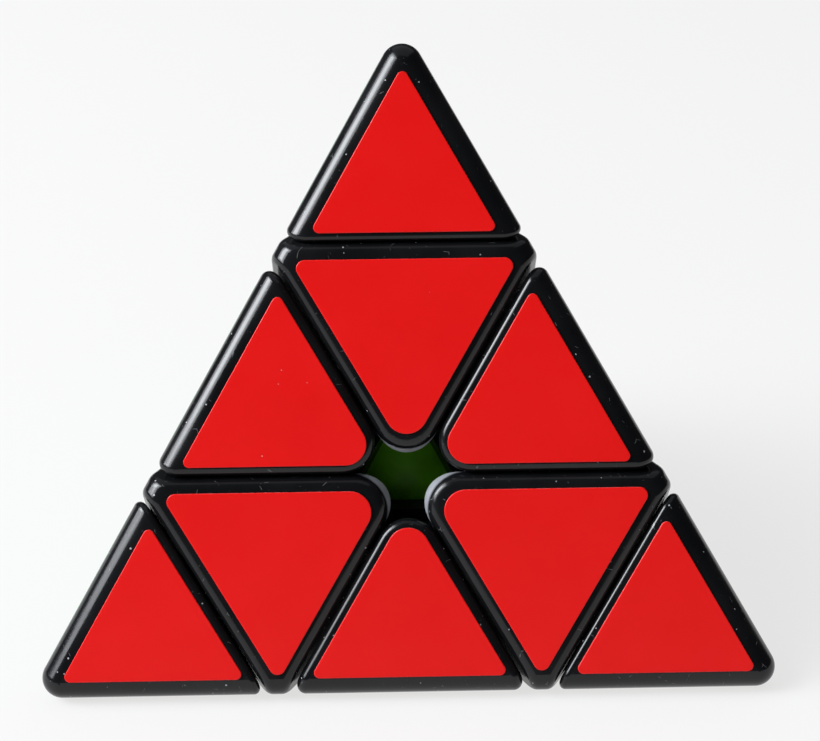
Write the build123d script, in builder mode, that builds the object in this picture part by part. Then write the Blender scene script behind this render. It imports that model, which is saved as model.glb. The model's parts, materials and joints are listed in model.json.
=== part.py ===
from build123d import *
import os
from math import sqrt

os.makedirs("parts", exist_ok=True)

# ---------------------------------------------------------------- dimensions, mm
edge_length = 106.0  # edge of the pyramid before its edges are rounded
edge_round = 2.75  # radius of the six long outer edges
rows = 3  # rows of pieces from base to apex
centroid_share = 0.25  # height of the centroid above a face, as a share of the height

gap = 0.30  # clearance between neighbouring moving pieces
tip_break = 0.75  # rounding of a tip where it meets its axial piece
axial_break = 1.40  # rounding of an axial piece along its grooves
edge_break = 1.10  # rounding of an edge piece along its grooves
hole_round = 4.6  # rounding of the corners that meet at the middle of a face

foot_thickness = 2.5  # thickness of the feet that wrap the ball in the middle
neck_rise = 1.0  # how far the feet reach out past the rounded inner corners
chamber_radius = 7.5  # room behind the hole in the middle of a face
axial_lip = 1.8  # thickness of an axial piece at that hole
edge_lip = 2.6  # thickness of an edge piece at that hole
foot_depth = 6.7  # how far a foot reaches past its layer plane

wall = 2.0  # wall of the hollow tips and axial pieces
tube_wall = 1.6  # wall of the screw tube inside an axial piece
pocket_radius = 5.0  # well for the screw and the sleeve of the tip
pocket_floor = 21.0  # height of the ledge that carries the spring
sleeve_fit = 0.08  # radial clearance of the sleeve in its well
sleeve_wall = 1.0  # wall of the sleeve under a tip
sleeve_end = 31.0  # height of the lower end of the sleeve
ring_height = 33.4  # height of the middle of the snap ring
ring_thick = 0.8  # thickness of the snap ring
ring_bite = 0.5  # depth of the snap ring in the wall of the well
ring_reach = 0.45  # how far the snap ring enters the groove of the sleeve
ring_opening = 2.4  # width of the split in the snap ring
ring_play = 0.08  # clearance of the snap ring in the groove of the sleeve

screw_radius = 1.5  # shank of the screw
screw_start = 4.5  # distance of the screw's point from the centre
screw_head_radius = 2.9
screw_head_base = 28.0  # height of the underside of the screw head
screw_head_height = 2.0
recess_width = 0.9  # width of each slot of the cross recess
recess_length = 3.4
recess_depth = 1.2
washer_radius = 3.4
washer_thick = 0.6
shank_clearance = 0.2  # radial clearance of the screw in the axial piece
spring_wire = 0.35  # radius of the spring wire
spring_radius = 2.5  # radius of the coil to the middle of the wire
spring_turns = 4.5
spring_seat = 0.05  # clearance at each end of the spring

sticker_thick = 0.25
sticker_outer = 3.95  # bare border of a face along the long outer edges
sticker_tip = 1.55  # bare border on a tip along the tip groove
sticker_axial_tip = 1.86  # bare border on an axial piece along the tip groove
sticker_axial_edge = 1.57  # bare border on an axial piece along the layer grooves
sticker_edge = 1.87  # bare border on an edge piece along the layer grooves
tip_sticker_round = 0.75
outer_sticker_round = 1.1
hole_sticker_round = 2.8

# ---------------------------------------------------------------- derived sizes
half_gap = gap / 2
height = edge_length * sqrt(2 / 3)
row_height = height / rows
face_distance = height * centroid_share
layer_distance = row_height - face_distance
tip_distance = 2 * row_height - face_distance
foot_distance = layer_distance - foot_depth
face_height = edge_length * sqrt(3) / 2
tile_height = face_height / rows
blank_size = 2 * edge_length
inner_corner = sqrt(3) * layer_distance
foot_radius = inner_corner + hole_round * (sqrt(3) - 1) + neck_rise
mid_sphere_outer = foot_radius + half_gap
mid_sphere_inner = foot_radius - half_gap
core_clear = foot_radius - foot_thickness
core_radius = core_clear - gap
sleeve_radius = pocket_radius - sleeve_fit
sleeve_bore = sleeve_radius - sleeve_wall
ring_outer = pocket_radius + ring_bite
ring_inner = pocket_radius - ring_reach
tube_radius = pocket_radius + tube_wall
skin_depth = edge_round / 2
sleeve_top = rows * (face_distance - wall) - sqrt(8) * sleeve_bore
spring_base = pocket_floor + spring_seat + spring_wire
spring_height = screw_head_base - washer_thick - spring_seat - spring_wire - spring_base
tiny = 0.01

# ---------------------------------------------------------------- axes and places
top = Vector(0, 0, 1)
left = Vector(-sqrt(2 / 3), -sqrt(2) / 3, -1 / 3)
right = Vector(sqrt(2 / 3), -sqrt(2) / 3, -1 / 3)
back = Vector(0, 2 * sqrt(2) / 3, -1 / 3)
axes = {"top": top, "left": left, "right": right, "back": back}
lower_axes = [left, right, back]
face_colors = {"back": "red", "right": "green", "left": "blue", "top": "yellow"}


def level(axis, distance):
    """Plane square to an axis, at a distance from the centre along it."""
    return Plane(origin=axis * distance, z_dir=axis)


def turned(axis, toward):
    """Plane with its Z along an axis and its Y leaning toward another axis."""
    lean = toward - axis * toward.dot(axis)
    return Plane(origin=(0, 0, 0), x_dir=lean.cross(axis), z_dir=axis)


corner_places = {
    "top": turned(top, back),
    "left": turned(left, back),
    "right": turned(right, back),
    "back": turned(back, top),
}

edge_pairs = {
    "top_left": (top, left),
    "top_right": (top, right),
    "top_back": (top, back),
    "front": (left, right),
    "back_left": (back, left),
    "back_right": (back, right),
}


def edge_place(first, second):
    """Plane with its Z out through a long edge and its X along that edge."""
    return Plane(origin=(0, 0, 0), x_dir=first - second, z_dir=first + second)


master_edge_place = edge_place(top, left)


# ---------------------------------------------------------------- selections
def on_skin(point):
    """True where a point lies in the thin outer layer of the pyramid."""
    depths = [point.dot(axis) + face_distance for axis in axes.values()]
    return min(depths) < skin_depth


def on_level(point, axis, distance):
    """True where a point lies on the plane square to an axis at a distance."""
    return abs(point.dot(axis) - distance) < tiny


def rim_edges(part, cuts):
    """Edges where the outer skin meets the given planes or a rounded corner."""
    rim = ShapeList()
    for edge in part.edges():
        spots = [edge @ 0, edge @ 0.5, edge @ 1]
        outside = all(on_skin(spot) for spot in spots)
        curved = edge.geom_type != GeomType.LINE
        on_cut = any(on_level(spots[1], axis, distance) for axis, distance in cuts)
        if outside and (curved or on_cut):
            rim.append(edge)
    return rim


# ---------------------------------------------------------------- rounded pyramid
with BuildPart() as blank:
    Box(blank_size, blank_size, blank_size)
    for axis in axes.values():
        split(bisect_by=level(axis * -1, face_distance), keep=Keep.BOTTOM)
    fillet(blank.edges(), edge_round)


# ---------------------------------------------------------------- rooms behind the holes
def rooms(faces, lip, radius):
    """Round rooms under the middle of some faces, below a lip."""
    with BuildPart() as hollow:
        for axis in faces:
            with BuildSketch(level(axis * -1, face_distance - lip)) as room_sketch:
                Circle(radius)
            extrude(amount=-(face_distance - lip - layer_distance))
        Sphere(mid_sphere_outer, mode=Mode.SUBTRACT)
    return hollow.part


axial_rooms = rooms(lower_axes, axial_lip, chamber_radius)
axial_room_walls = rooms(lower_axes, wall, chamber_radius + wall)
edge_rooms = rooms([right, back], edge_lip, chamber_radius)


# ---------------------------------------------------------------- tips
with BuildPart() as tip_cavity:
    Box(blank_size, blank_size, blank_size)
    for axis in lower_axes:
        split(bisect_by=level(axis * -1, face_distance - wall), keep=Keep.BOTTOM)
    split(bisect_by=level(top, tip_distance), keep=Keep.TOP)

with BuildPart() as tip_master:
    add(blank.part)
    split(bisect_by=level(top, tip_distance + half_gap), keep=Keep.TOP)
    fillet(rim_edges(tip_master, [(top, tip_distance + half_gap)]), tip_break)
    add(tip_cavity.part, mode=Mode.SUBTRACT)
    with BuildSketch(level(top, sleeve_end)) as sleeve_sketch:
        Circle(sleeve_radius)
        Circle(sleeve_bore, mode=Mode.SUBTRACT)
    extrude(amount=sleeve_top - sleeve_end)
    with BuildSketch(level(top, ring_height)) as sleeve_groove:
        Circle(sleeve_radius + tiny)
        Circle(ring_inner - ring_play, mode=Mode.SUBTRACT)
    extrude(amount=ring_thick / 2 + ring_play, both=True, mode=Mode.SUBTRACT)

for name, place in corner_places.items():
    with BuildPart() as tip:
        with Locations(place.location):
            add(tip_master.part)
    tip.part.label = f"tip_{name}"
    export_step(tip.part, f"parts/tip_{name}.step")

# ---------------------------------------------------------------- axial pieces
with BuildPart() as axial_cavity:
    Box(blank_size, blank_size, blank_size)
    for axis in lower_axes:
        split(bisect_by=level(axis * -1, face_distance - wall), keep=Keep.BOTTOM)
        split(bisect_by=level(axis, layer_distance - half_gap - wall), keep=Keep.BOTTOM)
    split(bisect_by=level(top, tip_distance), keep=Keep.BOTTOM)
    split(bisect_by=level(top, layer_distance), keep=Keep.TOP)
    Sphere(mid_sphere_outer + wall, mode=Mode.SUBTRACT)
    add(axial_room_walls, mode=Mode.SUBTRACT)
    Cylinder(tube_radius, blank_size, mode=Mode.SUBTRACT)

with BuildPart() as axial_stem:
    Sphere(foot_radius + wall)
    Sphere(core_clear, mode=Mode.SUBTRACT)
    for axis in lower_axes:
        split(bisect_by=level(axis, foot_distance - half_gap), keep=Keep.BOTTOM)
    split(bisect_by=level(top, foot_distance + half_gap), keep=Keep.TOP)

with BuildPart() as axial_master:
    add(blank.part)
    split(bisect_by=level(top, tip_distance - half_gap), keep=Keep.BOTTOM)
    split(bisect_by=level(top, layer_distance / 2), keep=Keep.TOP)
    for axis in lower_axes:
        split(bisect_by=level(axis, layer_distance - half_gap), keep=Keep.BOTTOM)
    inner_corners = ShapeList()
    for axis in lower_axes:
        corner_axis = Axis((0, 0, 0), top - axis)
        for edge in axial_master.edges().filter_by(corner_axis):
            others = [other for other in lower_axes if other != axis]
            if all(on_level(edge @ 0.5, other, layer_distance - half_gap) for other in others):
                inner_corners.append(edge)
    fillet(inner_corners, hole_round)
    split(bisect_by=level(top, layer_distance + half_gap), keep=Keep.TOP)
    axial_cuts = [(top, tip_distance - half_gap)]
    axial_cuts += [(axis, layer_distance - half_gap) for axis in lower_axes]
    fillet(rim_edges(axial_master, axial_cuts), axial_break)
    add(axial_rooms, mode=Mode.SUBTRACT)
    Sphere(mid_sphere_outer, mode=Mode.SUBTRACT)
    add(axial_stem.part)
    add(axial_cavity.part, mode=Mode.SUBTRACT)
    with BuildSketch(level(top, pocket_floor)) as pocket_sketch:
        Circle(pocket_radius)
    extrude(amount=blank_size, mode=Mode.SUBTRACT)
    with BuildSketch(level(top, ring_height)) as ring_seat_sketch:
        Circle(ring_outer)
    extrude(amount=ring_thick / 2, both=True, mode=Mode.SUBTRACT)
    with BuildSketch() as shank_hole_sketch:
        Circle(screw_radius + shank_clearance)
    extrude(amount=pocket_floor, mode=Mode.SUBTRACT)

for name, place in corner_places.items():
    with BuildPart() as axial:
        with Locations(place.location):
            add(axial_master.part)
    axial.part.label = f"axial_{name}"
    export_step(axial.part, f"parts/axial_{name}.step")

# ---------------------------------------------------------------- snap rings
with BuildPart() as ring_master:
    with BuildSketch(level(top, ring_height)) as ring_sketch:
        Circle(ring_outer)
        Circle(ring_inner, mode=Mode.SUBTRACT)
        with Locations((0, ring_outer)):
            Rectangle(ring_opening, ring_outer, mode=Mode.SUBTRACT)
    extrude(amount=ring_thick / 2, both=True)

for name, place in corner_places.items():
    with BuildPart() as ring:
        with Locations(place.location):
            add(ring_master.part)
    ring.part.label = f"tip_ring_{name}"
    export_step(ring.part, f"parts/tip_ring_{name}.step")

# ---------------------------------------------------------------- edge pieces
with BuildPart() as edge_foot:
    Sphere(mid_sphere_inner)
    Sphere(core_clear, mode=Mode.SUBTRACT)
    for axis in (top, left):
        split(bisect_by=level(axis, foot_distance + half_gap), keep=Keep.TOP)
    for axis in (right, back):
        split(bisect_by=level(axis, foot_distance - half_gap), keep=Keep.BOTTOM)

with BuildPart() as edge_master:
    add(blank.part)
    for axis in (top, left):
        split(bisect_by=level(axis, layer_distance + half_gap), keep=Keep.TOP)
    inner_corners = ShapeList()
    for edge in edge_master.edges().filter_by(Axis((0, 0, 0), right - back)):
        if on_level(edge @ 0.5, top, layer_distance + half_gap):
            inner_corners.append(edge)
    fillet(inner_corners, hole_round)
    edge_cuts = [(axis, layer_distance + half_gap) for axis in (top, left)]
    fillet(rim_edges(edge_master, edge_cuts), edge_break)
    add(edge_rooms, mode=Mode.SUBTRACT)
    Sphere(core_clear, mode=Mode.SUBTRACT)
    add(edge_foot.part)

for name, (first, second) in edge_pairs.items():
    turn = edge_place(first, second).location * master_edge_place.location.inverse()
    with BuildPart() as edge_piece:
        with Locations(turn):
            add(edge_master.part)
    edge_piece.part.label = f"edge_{name}"
    export_step(edge_piece.part, f"parts/edge_{name}.step")

# ---------------------------------------------------------------- core
with BuildPart() as core:
    Sphere(core_radius)
    for place in corner_places.values():
        with BuildSketch(place.offset(screw_start)) as thread_hole:
            Circle(screw_radius)
        extrude(amount=core_radius, mode=Mode.SUBTRACT)
core.part.label = "core"
export_step(core.part, "parts/core.step")

# ---------------------------------------------------------------- screws
with BuildPart() as core_screws:
    for place in corner_places.values():
        with BuildSketch(place.offset(screw_start)) as shank_sketch:
            Circle(screw_radius)
        extrude(amount=screw_head_base - screw_start)
        with BuildSketch(place.offset(screw_head_base)) as head_sketch:
            Circle(screw_head_radius)
        extrude(amount=screw_head_height)
        with BuildSketch(place.offset(screw_head_base + screw_head_height)) as recess_sketch:
            Rectangle(recess_length, recess_width)
            Rectangle(recess_width, recess_length)
        extrude(amount=-recess_depth, mode=Mode.SUBTRACT)
core_screws.part.label = "core_screws"
export_step(core_screws.part, "parts/core_screws.step")

# ---------------------------------------------------------------- washers
with BuildPart() as washers:
    for place in corner_places.values():
        with BuildSketch(place.offset(screw_head_base)) as washer_sketch:
            Circle(washer_radius)
            Circle(screw_radius, mode=Mode.SUBTRACT)
        extrude(amount=-washer_thick)
washers.part.label = "washers"
export_step(washers.part, "parts/washers.step")

# ---------------------------------------------------------------- springs
with BuildPart() as spring_master:
    with BuildLine(level(top, spring_base)) as coil_line:
        Helix(spring_height / spring_turns, spring_height, spring_radius)
    with BuildSketch(Plane(origin=coil_line.line @ 0, z_dir=coil_line.line % 0)) as wire_sketch:
        Circle(spring_wire)
    sweep(path=coil_line.line, is_frenet=True)

with BuildPart() as springs:
    with Locations([place.location for place in corner_places.values()]):
        add(spring_master.part)
springs.part.label = "springs"
export_step(springs.part, "parts/springs.step")

# ---------------------------------------------------------------- stickers
tip_base = tile_height + sticker_tip
tip_apex = 2 * tile_height - 2 * sticker_outer
axial_base = tile_height - sticker_axial_tip
axial_apex = 2 * sticker_axial_edge
edge_base = tile_height - sticker_outer
edge_apex = 2 * sticker_edge


def sticker(place, base, apex, base_round, apex_round):
    """Rounded triangular sticker with its base square to the Y axis of a face."""
    half_width = abs(base - apex) / sqrt(3)
    with BuildPart() as label:
        with BuildSketch(place) as outline:
            with BuildLine() as sides:
                Polyline((-half_width, base), (half_width, base), (0, apex), close=True)
            make_face()
            by_distance = outline.vertices().sort_by(lambda corner: abs(corner.Y - apex))
            fillet(by_distance[0], apex_round)
            base_corners = outline.vertices().sort_by(lambda corner: abs(corner.Y - base))
            fillet(base_corners[:2], base_round)
        extrude(amount=sticker_thick)
    return label.part


def save_sticker(part, label):
    """Name a sticker and write its file."""
    part.label = label
    export_step(part, f"parts/{label}.step")


for face_name, color in face_colors.items():
    outward = axes[face_name] * -1
    for name, axis in axes.items():
        if name == face_name:
            continue
        toward = axis - outward * axis.dot(outward)
        place = Plane(outward * face_distance, x_dir=toward.cross(outward), z_dir=outward)
        tip_sticker = sticker(place, tip_base, tip_apex, tip_sticker_round, tip_sticker_round)
        save_sticker(tip_sticker, f"sticker_{color}_tip_{name}")
        axial_sticker = sticker(
            place, axial_base, axial_apex, outer_sticker_round, hole_sticker_round
        )
        save_sticker(axial_sticker, f"sticker_{color}_axial_{name}")
    for name, pair in edge_pairs.items():
        if axes[face_name] in pair:
            continue
        toward = (pair[0] + pair[1]) - outward * (pair[0] + pair[1]).dot(outward)
        place = Plane(outward * face_distance, x_dir=toward.cross(outward), z_dir=outward)
        edge_sticker = sticker(
            place, edge_base, edge_apex, tip_sticker_round, hole_sticker_round
        )
        save_sticker(edge_sticker, f"sticker_{color}_edge_{name}")
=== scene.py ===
"""Looks of a three-layer pyramid twisty puzzle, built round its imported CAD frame."""

import json
import math

import bmesh
import bpy
from mathutils import Matrix, Vector


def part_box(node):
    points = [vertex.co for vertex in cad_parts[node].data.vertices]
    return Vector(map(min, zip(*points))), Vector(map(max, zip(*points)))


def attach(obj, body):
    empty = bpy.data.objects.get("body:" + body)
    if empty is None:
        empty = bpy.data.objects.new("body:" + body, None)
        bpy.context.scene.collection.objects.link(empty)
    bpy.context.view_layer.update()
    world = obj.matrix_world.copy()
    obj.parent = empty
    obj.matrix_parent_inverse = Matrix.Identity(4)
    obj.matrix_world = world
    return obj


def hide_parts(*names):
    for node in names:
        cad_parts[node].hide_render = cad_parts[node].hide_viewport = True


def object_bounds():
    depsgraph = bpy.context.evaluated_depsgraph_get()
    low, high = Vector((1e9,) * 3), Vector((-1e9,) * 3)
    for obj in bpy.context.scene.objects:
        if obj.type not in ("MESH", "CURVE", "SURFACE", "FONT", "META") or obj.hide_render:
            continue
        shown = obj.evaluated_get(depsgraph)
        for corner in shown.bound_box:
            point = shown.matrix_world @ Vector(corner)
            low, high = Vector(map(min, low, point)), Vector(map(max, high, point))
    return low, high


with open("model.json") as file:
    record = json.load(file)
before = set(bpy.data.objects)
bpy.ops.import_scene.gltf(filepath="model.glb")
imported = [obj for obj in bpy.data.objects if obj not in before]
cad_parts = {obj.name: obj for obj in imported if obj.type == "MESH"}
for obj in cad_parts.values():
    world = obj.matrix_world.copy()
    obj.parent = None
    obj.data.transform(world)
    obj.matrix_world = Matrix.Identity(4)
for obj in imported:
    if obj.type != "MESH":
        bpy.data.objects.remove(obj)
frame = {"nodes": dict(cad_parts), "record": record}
cad_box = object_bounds()
nodes = frame["nodes"]
record = frame["record"]
MM = 0.001

# ---------------------------------------------------------------- colours, linear
BLACK = (0.0030, 0.0032, 0.0038, 1)
BLACK_WORN = (0.0060, 0.0062, 0.0070, 1)
# pale grey painted on the walls inside each face's hole: a painted highlight standing in for the
# light these walls catch
WALL_SHEEN_GREY = (0.24, 0.25, 0.27, 1)
DUST = (0.55, 0.56, 0.58, 1)
CORE_GREEN = (0.10, 0.38, 0.003, 1)
CORE_SHADE = 0.8  # darker patches of the core, as a share of its green
STEEL = (0.62, 0.62, 0.63, 1)
STEEL_DULL = (0.45, 0.45, 0.47, 1)
FILMS = {
    "red": (0.63, 0.0045, 0.0038, 1),
    "green": (0.0, 0.29, 0.06, 1),
    "blue": (0.004, 0.06, 0.44, 1),
    "yellow": (0.90, 0.62, 0.008, 1),
}
FILM_LIGHTER = 1.06  # lighter patches of a film, as a share of its colour
FILM_LIFT = 0.002  # grey added to them
EDGE_CUT_AND_GLINT_WHITE = 0.75  # tone that a film's cut edge pales towards: partly the film's own paler cut, partly a painted glint
EDGE_CUT_AND_GLINT_PALENESS = 0.22  # how far it gets there
PAPER = (0.12, 0.12, 0.12, 1)
PAPER_SHADE = (0.117, 0.117, 0.117, 1)
PAPER_GLOW = (1.0, 0.993, 0.987, 1)
WINDOW_BLUE = (0.93, 0.96, 1.0)
SKY = (0.95, 0.97, 1.0, 1)

# ---------------------------------------------------------------- places
FACE_DIRECTIONS = (
    Vector((0, 0, -1)),
    Vector((math.sqrt(2 / 3), math.sqrt(2) / 3, 1 / 3)),
    Vector((-math.sqrt(2 / 3), math.sqrt(2) / 3, 1 / 3)),
    Vector((0, -2 * math.sqrt(2) / 3, 1 / 3)),
)
face_distance = -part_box("tip_left")[0][2]
HOLE_RIM = face_distance - 0.75 * MM  # distance from the centre where a hole's walls begin
HOLE_FLOOR = face_distance - 2.2 * MM  # reach towards a face below which they fade out
WALL_FADE = 0.35 * MM  # width of both fades


# ---------------------------------------------------------------- node helpers
MIX_FACTOR, MIX_FIRST, MIX_SECOND, MIX_RESULT = 0, 6, 7, 2  # colour sockets of a mix node


class Recipe:
    """A material's node tree, with one short call for each kind of node."""

    def __init__(self, name):
        self.material = bpy.data.materials.new(name)
        self.material.use_nodes = True
        self.tree = self.material.node_tree
        self.shader = self.tree.nodes["Principled BSDF"]
        self.coords = self.tree.nodes.new("ShaderNodeTexCoord").outputs["Object"]

    def link(self, source, target):
        """Join an output socket to an input socket."""
        self.tree.links.new(source, target)

    def stretched(self, factors):
        """Object coordinates scaled along each axis."""
        node = self.tree.nodes.new("ShaderNodeMapping")
        node.inputs["Scale"].default_value = factors
        self.link(self.coords, node.inputs["Vector"])
        return node.outputs["Vector"]

    def noise(self, size, detail=2.0, rough=0.5, warp=0.0, vector=None):
        """Noise whose blobs are about `size` metres across."""
        node = self.tree.nodes.new("ShaderNodeTexNoise")
        node.inputs["Scale"].default_value = 1 / size
        node.inputs["Detail"].default_value = detail
        node.inputs["Roughness"].default_value = rough
        node.inputs["Distortion"].default_value = warp
        self.link(vector or self.coords, node.inputs["Vector"])
        return node.outputs["Fac"]

    def cells(self, size, feature="F1", vector=None):
        """Voronoi cells about `size` metres across, as (distance, colour)."""
        node = self.tree.nodes.new("ShaderNodeTexVoronoi")
        node.feature = feature
        node.inputs["Scale"].default_value = 1 / size
        self.link(vector or self.coords, node.inputs["Vector"])
        return node.outputs["Distance"], node.outputs.get("Color")

    def ramp(self, value, low, high, out_low=0.0, out_high=1.0):
        """Value clamped and stretched from low..high to out_low..out_high."""
        node = self.tree.nodes.new("ShaderNodeMapRange")
        self.link(value, node.inputs["Value"])
        node.inputs["From Min"].default_value = low
        node.inputs["From Max"].default_value = high
        node.inputs["To Min"].default_value = out_low
        node.inputs["To Max"].default_value = out_high
        return node.outputs["Result"]

    def math(self, operation, first, second):
        """Result of an operation on two values, each a socket or a number."""
        node = self.tree.nodes.new("ShaderNodeMath")
        node.operation = operation
        for socket, value in zip(node.inputs, (first, second)):
            if isinstance(value, (int, float)):
                socket.default_value = value
            else:
                self.link(value, socket)
        return node.outputs["Value"]

    def mix(self, factor, first, second):
        """Colour mixed from first to second by factor."""
        node = self.tree.nodes.new("ShaderNodeMix")
        node.data_type = "RGBA"
        self.link(factor, node.inputs[MIX_FACTOR])
        for index, value in ((MIX_FIRST, first), (MIX_SECOND, second)):
            if isinstance(value, tuple):
                node.inputs[index].default_value = value
            else:
                self.link(value, node.inputs[index])
        return node.outputs[MIX_RESULT]

    def radius(self):
        """Distance from the centre of the puzzle."""
        node = self.tree.nodes.new("ShaderNodeVectorMath")
        node.operation = "LENGTH"
        self.link(self.coords, node.inputs[0])
        return node.outputs["Value"]

    def reach(self, direction):
        """How far a point lies from the centre along a direction."""
        node = self.tree.nodes.new("ShaderNodeVectorMath")
        node.operation = "DOT_PRODUCT"
        self.link(self.coords, node.inputs[0])
        node.inputs[1].default_value = direction
        return node.outputs["Value"]

    def bump(self, height, depth, strength=1.0, below=None):
        """Normal of a relief `depth` metres deep, laid over another normal."""
        node = self.tree.nodes.new("ShaderNodeBump")
        node.inputs["Distance"].default_value = depth
        node.inputs["Strength"].default_value = strength
        self.link(height, node.inputs["Height"])
        if below is not None:
            self.link(below, node.inputs["Normal"])
        return node.outputs["Normal"]

    def finish(self, color=None, rough=None, normal=None, **constants):
        """Material with these links, and constants on the shader's own sockets."""
        if color is not None:
            self.link(color, self.shader.inputs["Base Color"])
        if rough is not None:
            self.link(rough, self.shader.inputs["Roughness"])
        if normal is not None:
            self.link(normal, self.shader.inputs["Normal"])
        for key, value in constants.items():
            self.shader.inputs[key.replace("_", " ")].default_value = value
        return self.material


PICK_SOFTNESS = 0.02  # how sharply a cell is picked for a speck
SPECK_CORE = 0.5  # full part of a speck, as a share of its radius
LINE_CORE = 0.3  # full part of a hairline, as a share of its width
LINE_BREAKS = 0.2  # size of the breaks in hairlines, as a share of the cells
BREAK_SOFTNESS = 0.06  # how softly a hairline ends


def specks(recipe, size, share, radius):
    """White dust specks: 1 on a speck and 0 elsewhere."""
    distance, color = recipe.cells(size)
    picked = recipe.ramp(color, 1 - share, 1 - share + PICK_SOFTNESS)
    dot = recipe.ramp(distance, radius, radius * SPECK_CORE)
    return recipe.math("MULTIPLY", picked, dot)


def scratches(recipe, size, width, share, twist):
    """Short fine hairlines: 1 on a hairline and 0 elsewhere."""
    vector = recipe.stretched(twist)
    distance, _ = recipe.cells(size, "DISTANCE_TO_EDGE", vector)
    line = recipe.ramp(distance, width, width * LINE_CORE)
    breaks = recipe.noise(size * LINE_BREAKS, detail=1.0)
    where = recipe.ramp(breaks, 1 - share, 1 - share + BREAK_SOFTNESS)
    return recipe.math("MULTIPLY", line, where)


# ---------------------------------------------------------------- materials
FINE_HAIRLINE = 0.6  # paleness of a fine hairline against a coarse one
HAIRLINE_PALENESS = 0.17  # how far a hairline pales towards dust
MOTE_PALENESS = 0.6
MARK_ROUGHNESS = 1.4  # roughness of a mark for its paleness
WALL_ROUGHNESS = 0.45
FILM_MOTE_PALENESS = 0.5


def marked_plastic(r):
    """Hairlines and dust of a handled gloss surface, as (hairlines, motes)."""
    dust = specks(r, 1.5 * MM, share=0.50, radius=0.080)
    fluff = specks(r, 3.4 * MM, share=0.90, radius=0.050)
    hair = scratches(r, 5.0 * MM, width=0.0070, share=0.38, twist=(1.0, 1.6, 0.8))
    fine = scratches(r, 2.6 * MM, width=0.010, share=0.32, twist=(1.7, 0.7, 1.1))
    hairlines = r.math("MAXIMUM", hair, r.math("MULTIPLY", fine, FINE_HAIRLINE))
    return hairlines, r.math("MAXIMUM", dust, fluff)


def hole_wall_sheen(r):
    """1 on the walls just inside the hole of each face, 0 elsewhere: where pale grey is painted
    as a painted highlight in place of the light they catch, and where they are made rougher.
    """
    reaches = [r.reach(tuple(direction)) for direction in FACE_DIRECTIONS]
    deepest = reaches[0]
    for reach in reaches[1:]:
        deepest = r.math("MAXIMUM", deepest, reach)
    near_middle = r.ramp(r.radius(), HOLE_RIM + WALL_FADE, HOLE_RIM)
    not_too_deep = r.ramp(deepest, HOLE_FLOOR, HOLE_FLOOR + WALL_FADE)
    return r.math("MULTIPLY", near_middle, not_too_deep)


def black_plastic(name, has_hole_wall_sheen):
    """Glossy moulded plastic with handling smears, hairlines and dust, and, if asked, a painted
    highlight of pale grey on the hole walls.
    """
    r = Recipe(name)
    hairlines, motes = marked_plastic(r)
    pale_lines = r.math("MULTIPLY", hairlines, HAIRLINE_PALENESS)
    light = r.math("MAXIMUM", pale_lines, r.math("MULTIPLY", motes, MOTE_PALENESS))
    tone = r.mix(r.ramp(r.noise(9 * MM, detail=3), 0.35, 0.65), BLACK, BLACK_WORN)
    color = r.mix(light, tone, DUST)
    clouds = r.noise(7 * MM, detail=4, rough=0.6, warp=0.4)
    smear = r.ramp(clouds, 0.35, 0.7, out_low=0.12, out_high=0.22)
    rough = r.math("MAXIMUM", smear, r.math("MULTIPLY", light, MARK_ROUGHNESS))
    # painted highlight: pale grey, varied in patches, painted over the hole walls in place of
    # the light they catch; the walls are also made rougher
    if has_hole_wall_sheen:
        walls = hole_wall_sheen(r)
        patches = r.ramp(r.noise(1.4 * MM, detail=3), 0.2, 0.8, out_low=0.75)
        color = r.mix(r.math("MULTIPLY", walls, patches), color, WALL_SHEEN_GREY)
        rough = r.math("MAXIMUM", rough, r.math("MULTIPLY", walls, WALL_ROUGHNESS))
    ripple = r.bump(r.noise(3.2 * MM), depth=0.02 * MM, strength=0.3)
    marks = r.math("SUBTRACT", motes, hairlines)
    pitted = r.bump(marks, depth=0.015 * MM, strength=0.4, below=ripple)
    return r.finish(color, rough, pitted, IOR=1.40)


def core_plastic():
    """Satin green plastic with a faint moulding texture."""
    r = Recipe("core green")
    darker = tuple(c * CORE_SHADE for c in CORE_GREEN[:3]) + (1,)
    color = r.mix(r.ramp(r.noise(4 * MM, detail=3), 0.35, 0.65), CORE_GREEN, darker)
    rough = r.ramp(r.noise(2 * MM, detail=3), 0.3, 0.7, out_low=0.34, out_high=0.5)
    grain = r.bump(r.noise(0.5 * MM), depth=0.02 * MM, strength=0.4)
    return r.finish(color, rough, grain, IOR=1.3)


def plated_steel():
    """Zinc plated wire and turned heads, with fine turning marks."""
    r = Recipe("plated steel")
    color = r.mix(r.ramp(r.noise(1.5 * MM, detail=3), 0.3, 0.7), STEEL, STEEL_DULL)
    rough = r.ramp(r.noise(0.8 * MM, detail=3), 0.3, 0.7, out_low=0.22, out_high=0.42)
    turned = r.bump(r.noise(0.25 * MM), depth=0.01 * MM, strength=0.4)
    return r.finish(color, rough, turned, Metallic=1.0)


def film(name, tint):
    """Coloured vinyl film with slight print variation, motes and tiny dents."""
    r = Recipe(f"film {name}")
    lighter = tuple(min(1, c * FILM_LIGHTER + FILM_LIFT) for c in tint[:3]) + (1,)
    base = r.mix(r.ramp(r.noise(7 * MM, detail=3), 0.1, 0.9), tint, lighter)
    dust = specks(r, 3.0 * MM, share=0.50, radius=0.030)
    color = r.mix(r.math("MULTIPLY", dust, FILM_MOTE_PALENESS), base, DUST)
    rough = r.ramp(r.noise(3 * MM, detail=3), 0.1, 0.9, out_low=0.27, out_high=0.33)
    peel = r.bump(r.noise(0.7 * MM), depth=0.010 * MM, strength=0.3)
    wave = r.bump(r.noise(6 * MM, detail=1), depth=0.05 * MM, strength=0.3, below=peel)
    return r.finish(color, rough, wave, IOR=1.36)


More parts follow.
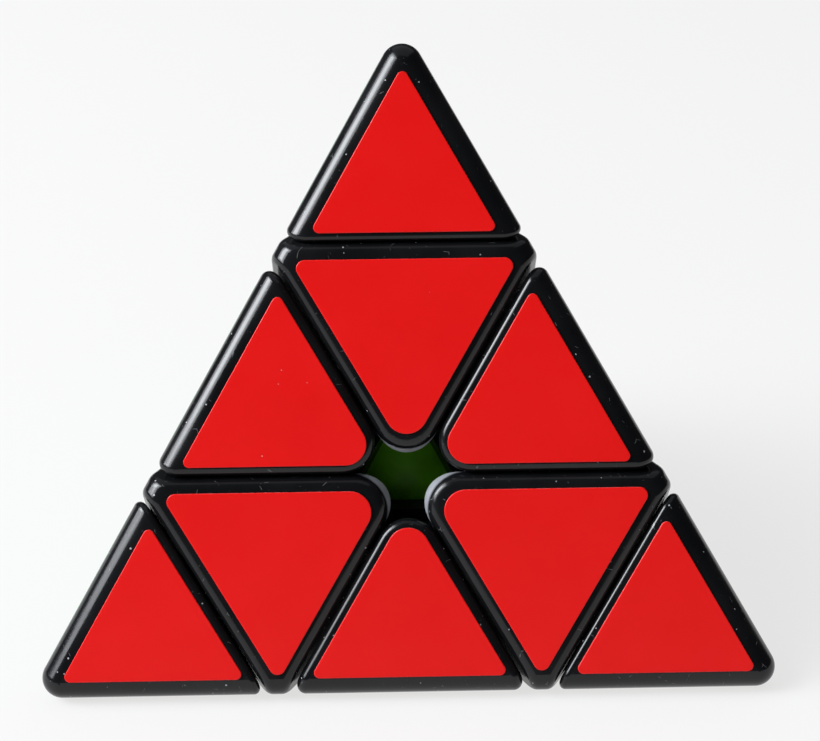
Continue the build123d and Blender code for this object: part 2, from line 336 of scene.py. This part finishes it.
def cut_and_glint_edge(name, tint):
    """Cut edge of a film, paler than its printed face: partly the film's own paler cut, partly a
    painted glint.
    """
    r = Recipe(f"film cut edge and painted glint {name}")
    pale = tuple(c + (EDGE_CUT_AND_GLINT_WHITE - c) * EDGE_CUT_AND_GLINT_PALENESS for c in tint[:3]) + (1,)
    color = r.mix(r.ramp(r.noise(0.6 * MM), 0.3, 0.7), pale, tint)
    rough = r.ramp(r.noise(0.5 * MM), 0.3, 0.7, out_low=0.2, out_high=0.35)
    cut = r.bump(r.noise(0.3 * MM), depth=0.005 * MM, strength=0.4)
    return r.finish(color, rough, cut)


black = black_plastic("gloss black", False)
# the axial pieces' black carries the painted highlight on the hole walls
axial_black_wall_sheen = black_plastic("gloss black axial painted wall sheen", True)
green = core_plastic()
steel = plated_steel()
films = {name: film(name, tint) for name, tint in FILMS.items()}
# cut edges: partly the films' own paler cut, partly a painted glint
cut_and_glint_edges = {name: cut_and_glint_edge(name, tint) for name, tint in FILMS.items()}


def node_material(name):
    """Material of a CAD node, from its name."""
    if name.startswith("sticker_"):
        return films[name.split("_")[1]]
    if name.startswith("axial_"):
        return axial_black_wall_sheen
    if name == "core":
        return green
    if name in ("core_screws", "washers", "springs") or name.startswith("tip_ring"):
        return steel
    return black


for name, node in nodes.items():
    for material_slot in node.material_slots:
        material_slot.link = "OBJECT"
        material_slot.material = node_material(name)

# ---------------------------------------------------------------- stickers
FILM_ROLL = 0.09 * MM  # width of the softened upper edge of a sticker
ROLL_STEPS = 3
MERGE_DISTANCE = 0.001 * MM
FLAT_ANGLE = math.radians(1)
SHARP_ANGLE = math.radians(40)
FACE, CUT_EDGE = 0, 1  # material places of a sticker
body_of_node = {
    member: body for body, members in record["behaviour"]["bodies"].items() for member in members
}


def front_face(form):
    """The large face of a sticker that looks away from the puzzle."""
    outward = [side for side in form.faces if side.normal.dot(side.calc_center_median()) > 0]
    return max(outward, key=lambda side: side.calc_area())


def rolled_sticker(name, node):
    """A sticker whose upper edge is softly rolled and whose cut edge is paler, partly as a
    painted glint.
    """
    form = bmesh.new()
    form.from_mesh(node.data)
    bmesh.ops.remove_doubles(form, verts=form.verts, dist=MERGE_DISTANCE)
    bmesh.ops.dissolve_limit(form, angle_limit=FLAT_ANGLE, verts=form.verts, edges=form.edges)
    rim = list(front_face(form).edges)
    for side in form.faces:
        side.material_index = CUT_EDGE
    bmesh.ops.bevel(
        form, geom=rim, offset=FILM_ROLL, segments=ROLL_STEPS, profile=0.5, affect="EDGES"
    )
    for side in form.faces:
        side.smooth = True
    for edge in form.edges:
        edge.smooth = edge.calc_face_angle(0) < SHARP_ANGLE
    front = front_face(form)
    front.material_index = FACE
    for edge in front.edges:
        edge.smooth = False
    mesh = bpy.data.meshes.new(f"rolled_{name}")
    form.to_mesh(mesh)
    form.free()
    color = name.split("_")[1]
    mesh.materials.append(films[color])
    mesh.materials.append(cut_and_glint_edges[color])
    piece = bpy.data.objects.new(f"rolled_{name}", mesh)
    bpy.context.scene.collection.objects.link(piece)
    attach(piece, body_of_node[name])
    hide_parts(name)


for name, node in nodes.items():
    if name.startswith("sticker_"):
        rolled_sticker(name, node)

# ---------------------------------------------------------------- floor
FLOOR_HALF = 3.0
GLOW_STRENGTH = 0.72  # a backlit table, which softens the shadow
PAPER_PATCH = 0.4  # size of the faint patches of the paper
floor_level = cad_box[0][2]
floor_mesh = bpy.data.meshes.new("floor")
quarters = ((-1, -1), (1, -1), (1, 1), (-1, 1))
corners = [(x * FLOOR_HALF, y * FLOOR_HALF, floor_level) for x, y in quarters]
floor_mesh.from_pydata(corners, [], [(0, 1, 2, 3)])
floor = bpy.data.objects.new("floor", floor_mesh)
bpy.context.scene.collection.objects.link(floor)
paper = Recipe("paper floor")
paper_tone = paper.mix(paper.noise(PAPER_PATCH), PAPER, PAPER_SHADE)
paper.shader.inputs["Emission Color"].default_value = PAPER_GLOW
paper.shader.inputs["Emission Strength"].default_value = GLOW_STRENGTH
floor_mesh.materials.append(paper.finish(paper_tone, Roughness=0.9))

# ---------------------------------------------------------------- camera
CAMERA_AIM = Vector((0.876, 5.109, 10.087)) * MM
CAMERA_DISTANCE = 265.4 * MM
CAMERA_YAW = math.radians(-1.0)
CAMERA_RISE = math.radians(26.93)
CAMERA_ROLL = math.radians(-0.387)
CAMERA_LENS = 82.0
CAMERA_SENSOR = 36.0
CAMERA_NEAR = 0.01
back_axis = Vector(
    (
        math.sin(CAMERA_YAW) * math.cos(CAMERA_RISE),
        -math.cos(CAMERA_YAW) * math.cos(CAMERA_RISE),
        math.sin(CAMERA_RISE),
    )
)
camera_data = bpy.data.cameras.new("camera")
camera_data.lens = CAMERA_LENS
camera_data.sensor_width = CAMERA_SENSOR
camera_data.clip_start = CAMERA_NEAR
camera = bpy.data.objects.new("camera", camera_data)
bpy.context.scene.collection.objects.link(camera)
turn = back_axis.to_track_quat("Z", "Y").to_matrix().to_4x4()
spot = Matrix.Translation(CAMERA_AIM + back_axis * CAMERA_DISTANCE)
camera.matrix_world = spot @ turn @ Matrix.Rotation(CAMERA_ROLL, 4, "Z")
bpy.context.scene.camera = camera

# ---------------------------------------------------------------- light
LIGHTS = (
    # name, direction seen from the object, distance, width, height, watts, seen in gloss
    ("window", (-0.80, -0.18, 0.58), 1.2, 0.95, 0.95, 24.0, True),
    ("window_middle", (-0.80, -0.18, 0.58), 1.21, 0.45, 0.60, 13.0, True),
    ("ceiling", (0.05, 0.30, 1.0), 1.6, 2.4, 2.4, 12.0, False),
    ("ceiling_glow", (0.05, 0.30, 1.0), 1.65, 2.4, 2.4, 6.0, True),
)
SKY_STRENGTH = 0.05

for name, direction, distance, width, tall, watts, glossy in LIGHTS:
    data = bpy.data.lights.new(name, "AREA")
    data.shape = "RECTANGLE"
    data.size = width
    data.size_y = tall
    data.energy = watts
    data.color = WINDOW_BLUE
    lamp = bpy.data.objects.new(name, data)
    lamp.visible_glossy = glossy
    bpy.context.scene.collection.objects.link(lamp)
    way = Vector(direction).normalized()
    lamp.matrix_world = (
        Matrix.Translation(way * distance) @ way.to_track_quat("Z", "Y").to_matrix().to_4x4()
    )

world = bpy.data.worlds.new("studio")
world.use_nodes = True
sky = world.node_tree.nodes["Background"]
sky.inputs["Color"].default_value = SKY
sky.inputs["Strength"].default_value = SKY_STRENGTH
bpy.context.scene.world = world
bpy.context.scene.view_settings.view_transform = "Standard"
